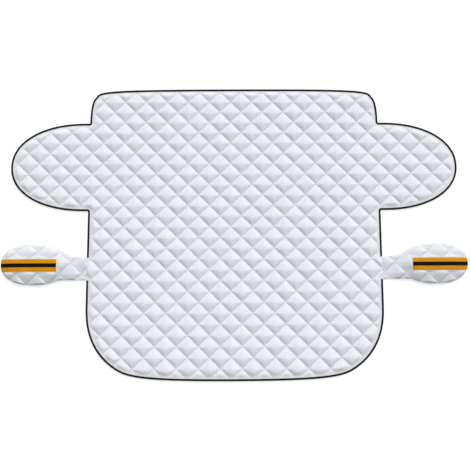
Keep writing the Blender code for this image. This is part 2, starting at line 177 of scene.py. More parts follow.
EDGE_STEP = 0.0048                   # between the outline's points
NECK_DOWN_SIDE = 0.613               # the neck's middle, as a share of the side below the wing
NECK_HALF = 0.0485
NECK_MIDDLE = WING_LOW + NECK_DOWN_SIDE * (CORNER_START - WING_LOW)
NECK_TOP, NECK_LOW = NECK_MIDDLE + NECK_HALF, NECK_MIDDLE - NECK_HALF
PANEL_MARGIN = 0.0100                # flat along the cut edge
PANEL_FADE = 0.021                   # the puffs rise to full height over this distance
PANEL_WAVES = 0.05                   # how much slow waves change the puffs' height
PUFF_HEIGHT = 0.0081                 # crown of a diamond above its seams
PUFF_FULLNESS = 1.95                 # exponent of a puff's section, higher is flatter on top
HIP_SHARE = 0.70                     # how far a puff is a hipped roof rather than a round pillow
HIP_SOFTNESS = 0.06                  # share of a diamond over which two hips meet softly
PUFF_VARIETY = 0.09                  # how much the filling changes from diamond to diamond
CROWN_STRAY = 0.14                   # how far the crowns stray from their places
PANEL_LEAN = np.array([-0.28, 0.13])   # of the crowns, across "\" seams and across "/" seams
GROOVE_DEPTH, GROOVE_HALF = 0.0009, 0.055   # below, the half width in seam spacings
FABRIC_COLOUR = (0.80, 0.82, 0.86)
FABRIC_WEAVE = 0.0009                # from thread to thread
PUCKER_PITCH = 0.0085


def cubic(start, out_handle, in_handle, end, steps):
    """A cubic curve. Each handle is given as an offset from its own end."""
    t = np.linspace(0, 1, steps + 1)[:, None]
    a, d = np.array(start), np.array(end)
    b, c = a + out_handle, d + in_handle
    return (1 - t) ** 3 * a + 3 * (1 - t) ** 2 * t * b + 3 * (1 - t) * t ** 2 * c + t ** 3 * d


def straight(start, end, steps):
    """Evenly spaced points of a straight line."""
    return np.array(start) + np.linspace(0, 1, steps + 1)[:, None] * (np.array(end) - start)


def run_along(path):
    """How far along a path each of its points lies."""
    return np.r_[0, np.linalg.norm(np.diff(path, axis=0), axis=1).cumsum()]


def even(path, step):
    """A path's points moved along it until they are evenly spaced."""
    run = run_along(path)
    places = np.linspace(0, run[-1], max(2, round(run[-1] / step)) + 1)
    return np.c_[np.interp(places, run, path[:, 0]), np.interp(places, run, path[:, 1])]


def notch(middle_y, start):
    """A quarter turn of the inner corner between body and wing, from the angle start in degrees."""
    turn = np.radians(start + np.linspace(0, 90, 5))
    return np.c_[HALF_WIDTH + NOTCH_RADIUS + NOTCH_RADIUS * np.cos(turn),
                 middle_y + NOTCH_RADIUS * np.sin(turn)]


def upper_half(end_y):
    """The right half of the edge, clockwise from the middle of the top to end_y on the side. Top
    and side are cubic curves whose handles are shares of the run or the corner beside them, and the
    wing is a superellipse on a short straight run."""
    turn = np.array([HALF_WIDTH - TOP_CORNER_IN, HALF_HEIGHT - TOP_CORNER_DOWN])
    along = np.array([math.cos(TOP_CORNER_SLOPE), -math.sin(TOP_CORNER_SLOPE)])
    above = notch(WING_TOP + NOTCH_RADIUS, 180)
    drop = turn[1] - above[0][1]
    top = cubic((0, HALF_HEIGHT), (0.87 * turn[0], 0), -1.08 * TOP_CORNER_IN * along, turn, 160)
    side = cubic(turn, 0.48 * TOP_CORNER_IN * along, (0, 0.92 * drop), above[0], 40)
    angle = np.linspace(np.pi / 2, -np.pi / 2, 400)
    power = 2 / WING_FULLNESS
    x = HALF_WIDTH + WING_STRAIGHT + (WING_REACH - WING_STRAIGHT) * np.cos(angle).clip(0) ** power
    y = (WING_TOP + WING_LOW
         + (WING_TOP - WING_LOW) * np.sign(angle) * np.abs(np.sin(angle)) ** power) / 2
    wing = np.vstack([above[-1:], np.c_[x, y], [(HALF_WIDTH + NOTCH_RADIUS, WING_LOW)]])
    below = notch(WING_LOW - NOTCH_RADIUS, 90)
    down = straight(below[-1], (HALF_WIDTH, end_y), 40)
    runs = [even(np.vstack([top, side[1:]]), EDGE_STEP), above[1:-1], even(wing, EDGE_STEP),
            below[1:-1], even(down, EDGE_STEP)]
    return np.vstack(runs)


def lower_half(start_y):
    """The right half of the edge, clockwise from start_y on the side to the middle of the bottom:
    a straight run, then cubic curves whose handles are given in the same way."""
    turn = np.array([HALF_WIDTH - BOTTOM_CORNER_IN, BOTTOM_CORNER_UP - HALF_HEIGHT])
    along = np.array([-math.cos(BOTTOM_CORNER_SLOPE), -math.sin(BOTTOM_CORNER_SLOPE)])
    rise = CORNER_START - turn[1]
    side = cubic((HALF_WIDTH, CORNER_START), (0, -0.2 * rise), -1.2 * BOTTOM_CORNER_IN * along,
                 turn, 80)
    bottom = cubic(turn, 0.53 * BOTTOM_CORNER_IN * along, (0.78 * turn[0], 0), (0, -HALF_HEIGHT), 120)
    down = straight((HALF_WIDTH, start_y), side[0], 20)
    return even(np.vstack([down, side[1:], bottom[1:]]), EDGE_STEP)


def reach_in(points, loop):
    """How far each point lies inside a closed outline, negative outside it: the least distance to
    any of its stretches, with inside told by a ray that crosses an odd number of them."""
    x, y = points.T
    nearest, crossed = np.full(len(x), np.inf), np.zeros(len(x), int)
    for (ax, ay), (bx, by) in zip(loop, np.roll(loop, -1, axis=0)):
        way_x, way_y = bx - ax, by - ay
        share = (((x - ax) * way_x + (y - ay) * way_y) / (way_x ** 2 + way_y ** 2)).clip(0, 1)
        nearest = np.minimum(nearest, (x - ax - share * way_x) ** 2 + (y - ay - share * way_y) ** 2)
        if ay != by:
            crossed += ((ay > y) != (by > y)) & (x < ax + (y - ay) * way_x / way_y)
    return np.sqrt(nearest) * np.where(crossed % 2, 1, -1)


def inset(loop, distance):
    """A closed counter-clockwise outline moved inwards by distance, with mitred corners."""
    before = loop - np.roll(loop, 1, axis=0)
    before = before / np.linalg.norm(before, axis=1)[:, None]
    after = np.roll(before, -1, axis=0)
    turned = [np.c_[-way[:, 1], way[:, 0]] for way in (before, after)]
    meeting = 1 + (turned[0] * turned[1]).sum(1)
    return loop + distance * (turned[0] + turned[1]) / meeting[:, None]


def ease(share):
    """A smooth step from 0 to 1."""
    share = np.clip(share, 0, 1)
    return share ** 2 * (3 - 2 * share)


# turns x and y into seam spacings across "\" seams and across "/" seams, and with the spacing
# squared turns them back
LATTICE = np.array([[1, 1], [1, -1]]) / (math.sqrt(2) * SEAM_SPACING)


def puff(points, crossing, seed, lean=(0, 0)):
    """Height of the quilting from 0 on the seams to about 1 at each crown. Across a diamond with
    s and t from 0 to 1, it mixes a round pillow, the product of 1 - |2s - 1|^n and the same of t,
    with a hipped roof over the distance d to the nearest seam, 1 - (1 - 2d)^n, where n is the
    fullness. Each diamond is filled a little differently, and lean moves its crown off its middle,
    which makes the slopes on that side steeper."""
    place = (points - crossing) @ LATTICE
    cell = np.floor(place).astype(int)
    share = place - cell
    varied = np.random.default_rng(seed).uniform(-1, 1, (3, 64, 64))[:, cell[:, 0] % 64, cell[:, 1] % 64]
    share = share + (CROWN_STRAY * varied[1:].T - lean) * share * (1 - share)
    pillow = (1 - np.abs(2 * share - 1) ** PUFF_FULLNESS).prod(1)
    near = np.minimum(share, 1 - share)
    gap = np.abs(near[:, 0] - near[:, 1])
    nearest = (near.min(1) - (HIP_SOFTNESS - gap).clip(0) ** 2 / (4 * HIP_SOFTNESS)).clip(0)
    hipped = 1 - (1 - 2 * nearest) ** PUFF_FULLNESS
    return (1 + PUFF_VARIETY * varied[0]) * ((1 - HIP_SHARE) * pillow + HIP_SHARE * hipped)


def ripple(points, seed, lengths=(0.11, 0.06, 0.034)):
    """Soft waves in cloth, about -1 to 1: a few plane waves of each length in random directions."""
    drawn = np.random.default_rng(seed)
    total = np.zeros(len(points))
    for length in lengths:
        for _ in range(4):
            turn, start = drawn.uniform(0, 2 * np.pi, 2)
            along = points @ (math.cos(turn), math.sin(turn))
            total += np.sin(2 * np.pi * along / length + start) * length / lengths[0]
    return total / 4


def stations(count, crowding=0.35):
    """Shares of one diamond at which its squares are cut, closer together by the seams."""
    even_share = np.linspace(0, 1, count + 1)
    return (1 - crowding) * even_share + crowding * (1 - np.cos(np.pi * even_share)) / 2


def squares(number):
    """The four corners of every square of a grid, each as an array."""
    return number[:-1, :-1], number[1:, :-1], number[1:, 1:], number[:-1, 1:]


SQUARES_FROM_OUTLINE = 0.0015        # the squares stay this far inside the outline itself
SQUARES_FROM_RIM = 0.4               # and this share of the smallest square inside the rim


def quilted_skin(loop, edge, rim, crossing, cuts):
    """Corners and triangles of one face of a quilted sheet, with the outline's own points first.
    Squares in line with the seams fill it, each split along its diamond's hips, and a band of
    free triangles leads from their ragged edge over a ring at the rim to the outline. Where edge
    leaves the outline, the sheet goes on, and the squares run up to it."""
    place = (loop - crossing) @ LATTICE
    low, high = np.floor(place.min(0)).astype(int), np.ceil(place.max(0)).astype(int)
    lines = [np.r_[(np.arange(a, b)[:, None] + cuts[:-1]).ravel(), b] for a, b in zip(low, high)]
    s, t = np.meshgrid(*lines, indexing="ij")
    grid = crossing + np.c_[s.ravel(), t.ravel()] @ LATTICE * SEAM_SPACING ** 2
    depth = np.full(len(grid), -1.0)
    boxed = ((grid > loop.min(0)) & (grid < loop.max(0))).all(1)
    depth[boxed] = np.minimum(reach_in(grid[boxed], edge),
                              reach_in(grid[boxed], loop) + rim - SQUARES_FROM_OUTLINE)
    solid = (depth > rim + SQUARES_FROM_RIM * np.diff(cuts).min() * SEAM_SPACING).reshape(s.shape)
    # the squares whose four corners are all inside, each as two triangles
    kept = np.logical_and.reduce(squares(solid))
    number = np.arange(s.size).reshape(s.shape)
    a, b, c, d = [corner[kept] for corner in squares(number)]
    half = np.array([(s[:-1, :-1] + s[1:, 1:])[kept], (t[:-1, :-1] + t[1:, 1:])[kept]]) / 2 % 1
    rising = ((half - 0.5).prod(0) > 0)[:, None]
    first = np.where(rising, np.c_[a, c, b], np.c_[a, d, b])
    second = np.where(rising, np.c_[a, d, c], np.c_[b, d, c])
    # their ragged edge, and the corners inside that no square uses
    around = np.pad(kept, 1)
    seam_i = around[1:-1, :-1] != around[1:-1, 1:]
    seam_j = around[:-1, 1:-1] != around[1:, 1:-1]
    ragged = np.vstack([np.c_[number[:-1][seam_i], number[1:][seam_i]],
                        np.c_[number[:, :-1][seam_j], number[:, 1:][seam_j]]])
    used = np.zeros(s.size, bool)
    used[np.r_[a, b, c, d]] = True
    loose = np.flatnonzero(solid.ravel() & ~used)
    fringe = np.unique(ragged)
    # the band between that edge, the ring and the outline
    ringed = (loop == edge).all(1)
    ring = inset(loop, rim)[ringed]
    drawn = np.vstack([loop, ring, grid[fringe], grid[loose]])
    count = len(loop)
    turn = np.arange(count)
    after = (turn + 1) % count
    place_in_ring = count + np.cumsum(ringed) - 1
    joined = ringed & ringed[after]
    total = count + len(ring)
    links = np.vstack([np.c_[turn, after], place_in_ring[np.c_[turn, after][joined]],
                       total + np.searchsorted(fringe, ragged)])
    found, _, faces, origins = delaunay_2d_cdt([Vector(p) for p in drawn], links.tolist(), [], 0, 1e-6)[:4]
    faces, found = np.array(faces), np.array([tuple(p) for p in found])
    middle = found[faces].mean(1)
    spot = (middle - crossing) @ LATTICE
    column = [np.searchsorted(line, spot[:, n]) - 1 for n, line in enumerate(lines)]
    column = [c.clip(0, size - 1) for c, size in zip(column, kept.shape)]
    faces = faces[(reach_in(middle, loop) > 0) & ~kept[column[0], column[1]]]
    # both joined, with every triangle turned to face up
    known = np.r_[np.arange(total), total + fringe, total + loose]
    name = np.array([known[source[0]] if source else total + s.size + n
                     for n, source in enumerate(origins)])
    corners = np.vstack([loop, ring, grid, found])
    triangles = np.vstack([total + first, total + second, name[faces]])
    flat = corners[triangles]
    way, across = flat[:, 1] - flat[:, 0], flat[:, 2] - flat[:, 0]
    flipped = way[:, 0] * across[:, 1] < way[:, 1] * across[:, 0]
    triangles[flipped] = triangles[flipped][:, ::-1]
    shown = np.unique(np.r_[np.arange(count), triangles.ravel()])
    return corners[shown], np.searchsorted(shown, triangles)


def quilted_sheet(name, loop, edge, rim, crossing, cuts, top, underside, finish, side=1):
    """A closed quilted sheet: a face carried to each of two height formulas, which read a point's
    place and its distance from the edge, and a wall round the cut edge. cuts holds the shares of a
    diamond at which the upper face's squares are cut, then the lower one's. Mesh edges along a
    seam and round the rim are sharp. side is -1 for a piece of the left side."""
    upper, upper_faces = quilted_skin(loop, edge, rim, crossing, cuts[0])
    under, under_faces = quilted_skin(loop, loop, rim, crossing, cuts[1])
    count, first = len(loop), len(upper)
    turn = np.arange(count)
    after = (turn + 1) % count
    wall = np.vstack([np.c_[turn + first, after + first, after], np.c_[turn + first, after, turn]])
    faces = np.vstack([upper_faces, under_faces[:, ::-1] + first, wall])
    high = top(upper, reach_in(upper, edge).clip(0))
    low = underside(under, reach_in(under, loop).clip(0))
    corners = np.vstack([np.c_[upper, high], np.c_[under, low]]) * (side, 1, 1)
    made = put_piece(name, corners, faces[:, ::side], finish)
    mesh = made.data
    ends = np.zeros(2 * len(mesh.edges), int)
    mesh.edges.foreach_get("vertices", ends)
    ends = ends.reshape(-1, 2)
    place = (corners[:, :2] * (side, 1) - crossing) @ LATTICE
    on_seam = np.abs(place - place.round()) < 1e-5
    same = np.abs(place[ends[:, 0]] - place[ends[:, 1]]) < 1e-5
    along_seam = (on_seam[ends[:, 0]] & on_seam[ends[:, 1]] & same).any(1) & (ends < first).all(1)
    rim_edge = (np.sort(ends % first, axis=1) < count).all(1) & (np.abs(np.diff(ends % first)[:, 0]) < 2)
    mesh.edges.foreach_set("use_edge_sharp", (along_seam | rim_edge).tolist())
    return made


def node_group(name, inputs, outputs):
    """A shader node group with named sockets, and its input and output nodes."""
    group = bpy.data.node_groups.new(name, "ShaderNodeTree")
    for word, kind in inputs:
        group.interface.new_socket(word, in_out="INPUT", socket_type="NodeSocket" + kind)
    for word, kind in outputs:
        group.interface.new_socket(word, in_out="OUTPUT", socket_type="NodeSocket" + kind)
    entry, leave = group.nodes.new("NodeGroupInput"), group.nodes.new("NodeGroupOutput")
    return group, entry.outputs, leave.inputs


# a plain weave: rounded threads both ways, and at each crossing the warp or the weft on top in turn
weave, given, told = node_group("plain_weave", [("Vector", "Vector"), ("Pitch", "Float")],
                                [("Height", "Float"), ("Gap", "Float")])
apart = node(weave, "SeparateXYZ", {0: given["Vector"]})
threads, turns = [], []
for axis in (0, 1):
    count = reckon(weave, "DIVIDE", apart.outputs[axis], given["Pitch"])
    turns.append(reckon(weave, "FLOOR", count))
    wave = reckon(weave, "SINE", reckon(weave, "MULTIPLY", count, math.pi))
    threads.append(reckon(weave, "ABSOLUTE", wave))
halved = reckon(weave, "MULTIPLY", reckon(weave, "ADD", *turns), 0.5)
parity = reckon(weave, "MULTIPLY", reckon(weave, "FRACT", halved), 2.0)
over = node(weave, "Mix", {0: parity, 2: threads[0], 3: threads[1]}, data_type="FLOAT").outputs[0]
weave.links.new(over, told["Height"])
between = [reckon(weave, "SUBTRACT", 1.0, height) for height in threads]
weave.links.new(reckon(weave, "MULTIPLY", *between), told["Gap"])

# place among the quilting seams, in seam spacings: how far the nearest seam is, and how far along it
seams, given, told = node_group("quilting_seams", [("Vector", "Vector")],
                                [("Distance", "Float"), ("Along", "Float")])
apart = node(seams, "SeparateXYZ", {0: given["Vector"]})
off = [reckon(seams, "PINGPONG", apart.outputs[axis], 0.5) for axis in (0, 1)]
seams.links.new(reckon(seams, "MINIMUM", *off), told["Distance"])
along = node(seams, "Mix", {0: reckon(seams, "LESS_THAN", *off), 2: apart.outputs[0],
                            3: apart.outputs[1]}, data_type="FLOAT")
seams.links.new(along.outputs[0], told["Along"])


def ranged(tree, value, low, high, start=0.0, end=1.0, **settings):
    """A value carried over from the range of start to end to that of low to high."""
    return node(tree, "MapRange", {0: value, 1: start, 2: end, 3: low, 4: high}, **settings).outputs[0]


def shaded(tree, shader, colour, shade):
    """The shader's colour: a plain colour times a shade that changes over the surface."""
    tone = node(tree, "Mix", {0: 1.0, 6: (*colour, 1), 7: shade}, data_type="RGBA",
                blend_type="MULTIPLY")
    tree.links.new(tone.outputs[2], shader.inputs["Base Color"])


def quilted_fabric(name, colour, crossing, side=1):
    """White polyester cloth over wadding: a fine plain weave, faint mottling, small wrinkles, and
    puckers that the stitching draws up along each seam. Painted shade darkens its colour along the
    seams and between the threads."""
    made, tree, shader = finish_of(name, colour, 0.82)
    shader.inputs["Sheen Weight"].default_value = 0.12
    shader.inputs["Sheen Roughness"].default_value = 0.4
    shader.inputs["Specular IOR Level"].default_value = 0.25
    where = node(tree, "TexCoord").outputs["Object"]
    start = (np.array(crossing) * (side, 1)) @ (LATTICE * (1, -1))
    lined = node(tree, "Mapping", {"Vector": where, "Location": (-start[0], -start[1], 0),
                                   "Rotation": (0, 0, -math.pi / 4), "Scale": (1 / SEAM_SPACING,) * 3})
    seam = node(tree, "Group", {0: lined.outputs[0]}, node_tree=seams).outputs
    cloth = node(tree, "Group", {"Vector": where, "Pitch": FABRIC_WEAVE}, node_tree=weave).outputs
    mottle = noise(tree, where, 34.0, 3.0)
    crease = noise(tree, where, 75.0, distortion=0.6)
    # darker in the mottling's hollows, and painted shade right at the seams and between the threads
    seam_shade = ranged(tree, seam["Distance"], 0.93, 1.0, 0.0, 0.03)
    between = reckon(tree, "SUBTRACT", 1.0, reckon(tree, "MULTIPLY", cloth["Gap"], 0.12))
    shade = reckon(tree, "MULTIPLY", ranged(tree, mottle, 0.955, 1.02, 0.25, 0.75), seam_shade)
    shaded(tree, shader, colour, reckon(tree, "MULTIPLY", shade, between))
    tree.links.new(ranged(tree, mottle, 0.76, 0.90), shader.inputs["Roughness"])
    # puckers square to the seam, strongest beside it, and set off from each other by the mottling
    pulled = reckon(tree, "MULTIPLY", seam["Along"], 2 * math.pi * SEAM_SPACING / PUCKER_PITCH)
    pulled = reckon(tree, "SINE", reckon(tree, "ADD", pulled, reckon(tree, "MULTIPLY", mottle, 14.0)))
    fading = ranged(tree, seam["Distance"], 1.0, 0.0, 0.01, 0.13, interpolation_type="SMOOTHSTEP")
    pucker = reckon(tree, "MULTIPLY", pulled, fading)
    relief(tree, shader, (crease, 0.0007, 1.0), (pucker, 0.00016, 1.0), (cloth["Height"], 0.00007, 0.6))
    return made


NECK_BRIDGE = np.array([0.04, 0])    # the edge is counted this far off where a neck strap is sewn on
NECK_SEAM_LEFT, NECK_SEAM_FADE = 0.45, 0.007


def both_halves(right):
    """The closed counter-clockwise outline of a right half and its mirror image."""
    return np.vstack([right, (right[::-1] * (-1, 1))[1:-1]])[::-1]


def neck_seam(points):
    """Share of the puffs' height that is left by the seam between panel and neck strap: less than
    half on it, rising to 1 a few millimetres away."""
    across = np.abs(np.abs(points[:, 0]) - HALF_WIDTH)
    beyond = (np.abs(points[:, 1] - NECK_MIDDLE) - (NECK_TOP - NECK_LOW) / 2).clip(0)
    return NECK_SEAM_LEFT + (1 - NECK_SEAM_LEFT) * ease(np.hypot(across, beyond) / NECK_SEAM_FADE)


above_neck, below_neck = upper_half(NECK_TOP), lower_half(NECK_LOW)
neck_cut = straight(above_neck[-1], below_neck[0], 20)[1:-1]
panel_loop = both_halves(np.vstack([above_neck, neck_cut, below_neck]))
panel_edge = both_halves(np.vstack([above_neck, neck_cut + NECK_BRIDGE, below_neck]))


def panel_top(points, depth):
    """Flat on the pressed edge, then puffs, with slow waves through the whole sheet."""
    risen = ease((depth - PANEL_MARGIN) / PANEL_FADE) * neck_seam(points)
    wave = 1 + PANEL_WAVES * ripple(points, seed=11)
    return EDGE_TOP + PUFF_HEIGHT * risen * puff(points, PANEL_CROSSING, 5, PANEL_LEAN) * wave


def panel_underside(points, depth):
    """Pressed flat on the ground, with shallow grooves where the seams draw it up, and lifted where
    the binding wraps the edge."""
    place = (points - PANEL_CROSSING) @ LATTICE
    nearest = np.abs(place - place.round()).min(1)
    risen = ease((depth - PANEL_MARGIN) / PANEL_FADE)
    groove = GROOVE_DEPTH * (1 - ease(nearest / GROOVE_HALF)) * risen
    return EDGE_LIFT * (2 - depth / PANEL_MARGIN).clip(0, 1) + groove


UNDER_CUTS = np.array([0, GROOVE_HALF, 0.5, 1 - GROOVE_HALF, 1])
fabric = quilted_fabric("white_quilted_fabric", FABRIC_COLOUR, PANEL_CROSSING)
panel = quilted_sheet("quilted_panel", panel_loop, panel_edge, PANEL_MARGIN, PANEL_CROSSING,
                      (stations(14), UNDER_CUTS), panel_top, panel_underside, fabric)
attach(panel, "root")
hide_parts("cover_panel")

# Quilting thread: white polyester, one row of stitches down each seam of the panel. Each stitch
# lies at the bottom of its groove and dips through the cloth at both ends.
STITCH_PITCH = 0.0058
STITCH_LENGTH = 0.0046
STITCH_CLEAR = 0.001                 # stitches keep this far from an outline or a row's start
THREAD_RADIUS = 0.00042
THREAD_PROUD = 0.4                   # share of the radius by which a stitch's ends stand proud


def thread(name, colour):
    """Twisted polyester thread: slightly glossy, with the lay of its yarns as fine slanting lines, and
    painted shade that darkens the grooves of the lay.
    """
    made, tree, shader = finish_of(name, colour, 0.55)
    where = node(tree, "TexCoord").outputs["Object"]
    lay = node(tree, "TexWave", {"Vector": where, "Scale": 900.0, "Distortion": 1.5},
               bands_direction="DIAGONAL").outputs["Fac"]
    # painted shade: up to 14 % darker in the grooves of the lay
    shaded(tree, shader, colour, ranged(tree, lay, 0.86, 1.0))
    relief(tree, shader, (lay, 0.0001, 0.5))
    return made


def stitches(name, starts, ends, radius, finish):
    """Stitches from an array of starts to an array of ends. Each is an eight-faced spindle: its two
    ends, and four corners round its middle, square to it."""
    way = ends - starts
    across = np.c_[-way[:, 1], way[:, 0], np.zeros(len(way))]
    across *= radius / np.linalg.norm(across, axis=1)[:, None]
    up = np.cross(way, across)
    up *= radius / np.linalg.norm(up, axis=1)[:, None]
    middle = (starts + ends) / 2
    corners = np.stack([starts, middle + across, middle + up, middle - across, middle - up, ends], 1)
    sides = np.array([(0, 2, 1), (0, 3, 2), (0, 4, 3), (0, 1, 4), (5, 1, 2), (5, 2, 3), (5, 3, 4),
                      (5, 4, 1)])
    faces = (np.arange(len(starts))[:, None, None] * 6 + sides).reshape(-1, 3)
    return put_piece(name, corners.reshape(-1, 3), faces, finish)


def seam_stitches(name, loop, edge, rim, crossing, height, finish, side=1):
    """Stitches down every seam that an outline covers, laid on the height formula."""
    place = (loop - crossing) @ LATTICE
    low, high = np.floor(place.min(0)), np.ceil(place.max(0))
    ends = []
    for axis in (0, 1):
        seam = np.arange(low[axis], high[axis] + 1)
        begin = np.arange(low[1 - axis], high[1 - axis], STITCH_PITCH / SEAM_SPACING)
        across, along = [grid.ravel() for grid in np.meshgrid(seam, begin)]
        for end in (0, STITCH_LENGTH / SEAM_SPACING):
            spot = np.zeros((len(across), 2))
            spot[:, axis], spot[:, 1 - axis] = across, along + end
            ends.append(crossing + spot @ LATTICE * SEAM_SPACING ** 2)
    first, last = np.vstack(ends[::2]), np.vstack(ends[1::2])
    boxed = ((first > loop.min(0)) & (first < loop.max(0))).all(1)
    first, last = first[boxed], last[boxed]
    kept = np.logical_and(*[(reach_in(end, edge) > rim) & (reach_in(end, loop) > STITCH_CLEAR)
                            for end in (first, last)])
    first, last = first[kept], last[kept]
    rise = [height(end, reach_in(end, edge)) + THREAD_PROUD * THREAD_RADIUS for end in (first, last)]
    starts, ends = [np.c_[end, lift] * (side, 1, 1) for end, lift in zip((first, last), rise)]
    return stitches(name, starts, ends, THREAD_RADIUS, finish)


SEAM_OVERRUN = 0.001                 # the seams run this far on to the flat margin
white_thread = thread("white_thread", (0.78, 0.79, 0.82))
panel_thread = seam_stitches("quilting_thread", panel_loop, panel_edge, PANEL_MARGIN - SEAM_OVERRUN,
                             PANEL_CROSSING, panel_top, white_thread)
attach(panel_thread, "root")

# Edge binding: black woven polyester tape folded over the pressed edge and sewn through along its
# inner side, in one run over the top and the wings and one round the bottom, from neck to neck.
TAPE_THICKNESS = 0.0007
BINDING_WIDTH = 0.0086
BINDING_COLOUR = (0.0045, 0.0045, 0.0055)
NARROW_SEAM_IN = 0.0016              # from a narrow tape's side to its seam
BINDING_THREAD_LIFT = 0.0002
FOLD_HUMP = 0.0003
TAPE_WEAVE = 0.0006
CAP_STRIP = 0.001                    # where the cut ends lie in a tape's UV map
TRIM_PITCH, TRIM_LENGTH, TRIM_RADIUS = 0.0042, 0.0032, 0.00034   # of the stitches along a trim


def folded_section(width, rounds=7, flats=4):
    """The two skins of a tape folded over an edge, as (out, height) pairs of equal count: in along
    the top, round the edge as half an ellipse, and back below. The fold stands slightly proud of
    the cloth between its stitches and its edge."""
    middle, reach = (EDGE_LIFT + EDGE_TOP) / 2, CLEARANCE + TAPE_THICKNESS
    angle = np.linspace(np.pi / 2, -np.pi / 2, rounds)
    run = np.linspace(0, 1, flats + 1)[:-1]
    hump = FOLD_HUMP * np.sin(np.pi * run)
    flat = (reach - width) * (1 - run)
    skins = []
    for thick in (TAPE_THICKNESS, 0):
        out, rise = CLEARANCE + thick, EDGE_THICKNESS / 2 + CLEARANCE + thick
        skins.append(np.vstack([np.c_[flat, middle + rise + hump],
                                np.c_[out * np.cos(angle), middle + rise * np.sin(angle)],
                                np.c_[flat, np.full(flats, middle - rise)][::-1]]))
    return skins


def outward(path):
    """The direction square to an open path and outwards, for a path that is given clockwise."""
    way = np.gradient(path, axis=0)
    way = way / np.linalg.norm(way, axis=1)[:, None]
    return np.c_[-way[:, 1], way[:, 0]]


def swept_tape(name, path, skins, finish, side=1, wander=0.0):
    """A tape carried along an open clockwise path, its section square to the path and always
    outwards. wander lets it stray sideways and up in soft waves. Its UV map is the distance along
    it and round its section, in metres."""
    out, run = outward(path), run_along(path)
    section = np.vstack([skins[0], skins[1][::-1]])
    count, round_count = len(path), len(section)
    stray = wander * np.c_[ripple(np.c_[run, run * 0], 3, (0.2, 0.09, 0.04)),
                           ripple(np.c_[run, run * 0], 4, (0.15, 0.06, 0.03))]
    width = section[:, 0] + stray[:, :1] * (section[:, 0] < 0)
    rise = section[:, 1] + stray[:, 1:] * (section[:, 1] > EDGE_TOP)
    plan = path[:, None] + out[:, None] * width[..., None]
    corners = np.dstack([plan, rise]).reshape(-1, 3) * (side, 1, 1)
    i, j = np.indices((count - 1, round_count)).reshape(2, -1)
    after = (j + 1) % round_count
    walls = np.c_[i * round_count + j, i * round_count + after, (i + 1) * round_count + after,
                  (i + 1) * round_count + j]
    k = np.arange(len(skins[0]) - 1)
    cap = np.c_[k, round_count - 1 - k, round_count - 2 - k, k + 1]
    far = cap[:, ::-1] + (count - 1) * round_count
    faces = np.vstack([walls, cap, far])
    around = run_along(np.vstack([section, section[:1]]))
    along = np.c_[run[i], run[i], run[i + 1], run[i + 1]]
    over = np.c_[around[j], around[j + 1], around[j + 1], around[j]]
    ends = np.zeros((2 * len(cap), 4))
    uv = np.dstack([np.vstack([along, ends]), np.vstack([over, ends + CAP_STRIP * np.arange(4)])])
    made = put_piece(name, corners, faces[:, ::-side], finish)
    layer = made.data.uv_layers.new(name="tape")
    layer.data.foreach_set("uv", uv[:, ::-side].ravel().astype(np.float32))
    return made


def tape_cloth(name, colour, roughness, rib, height):
    """Narrow woven tape: ribs across it and a plain weave over them, with painted shade in its colour:
    darker between the ribs, and paler on some of their crests by a random amount.
    """
    made, tree, shader = finish_of(name, colour, roughness)
    shader.inputs["Specular IOR Level"].default_value = 0.12
    where = node(tree, "UVMap", uv_map="tape").outputs[0]
    along = node(tree, "SeparateXYZ", {0: where}).outputs[0]
    ribs = reckon(tree, "ABSOLUTE", reckon(tree, "SINE", reckon(tree, "MULTIPLY", along, math.pi / rib)))
    cloth = node(tree, "Group", {"Vector": where, "Pitch": TAPE_WEAVE}, node_tree=weave).outputs
    fuzz = noise(tree, where, 160.0, 3.0)
    rib_shade = reckon(tree, "MULTIPLY", fuzz, ribs)
    # painted shade: from 0.55 of the colour between the ribs to as much as 1.5 on their crests
    shaded(tree, shader, colour, ranged(tree, rib_shade, 0.55, 1.5, 0.0, 0.7))
    tree.links.new(ranged(tree, fuzz, roughness - 0.08, roughness + 0.12), shader.inputs["Roughness"])
    relief(tree, shader, (ribs, height, 0.8), (cloth["Height"], 0.00006, 0.6))
    return made


def stitched_row(name, line, height, finish, side=1):
    """One row of stitches along a line, laid on the height formula."""
    run = run_along(line)
    begin = np.arange(STITCH_CLEAR, run[-1] - TRIM_LENGTH, TRIM_PITCH)
    spots = [np.c_[np.interp(begin + shift, run, line[:, 0]), np.interp(begin + shift, run, line[:, 1])]
             for shift in (0, TRIM_LENGTH)]
    starts, ends = [np.c_[spot, height(spot)] * (side, 1, 1) for spot in spots]
    return stitches(name, starts, ends, TRIM_RADIUS, finish)


binding_cloth = tape_cloth("black_binding", BINDING_COLOUR, roughness=0.75, rib=0.0011,
                           height=0.00015)
black_thread = thread("black_thread", (0.008, 0.008, 0.009))
binding_skins = folded_section(BINDING_WIDTH)
binding_seam_in = BINDING_WIDTH - CLEARANCE - TAPE_THICKNESS - NARROW_SEAM_IN
binding_thread_height = EDGE_TOP + CLEARANCE + TAPE_THICKNESS + BINDING_THREAD_LIFT
upper_right = upper_half(NECK_TOP + CLEARANCE)
upper_path = np.vstack([upper_right[::-1] * (-1, 1), upper_right[1:]])
lower_right = lower_half(NECK_LOW - CLEARANCE)
lower_path = np.vstack([lower_right, (lower_right[::-1] * (-1, 1))[1:]])
for word, path in (("upper", upper_path), ("lower", lower_path)):
    binding = swept_tape(word + "_edge_binding", path, binding_skins, binding_cloth, wander=0.00022)
    sewn = stitched_row(word + "_binding_thread", path - binding_seam_in * outward(path),
                        lambda spot: np.full(len(spot), binding_thread_height), black_thread)
    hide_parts(word + "_binding")
    for piece in (binding, sewn):
        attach(piece, "root")

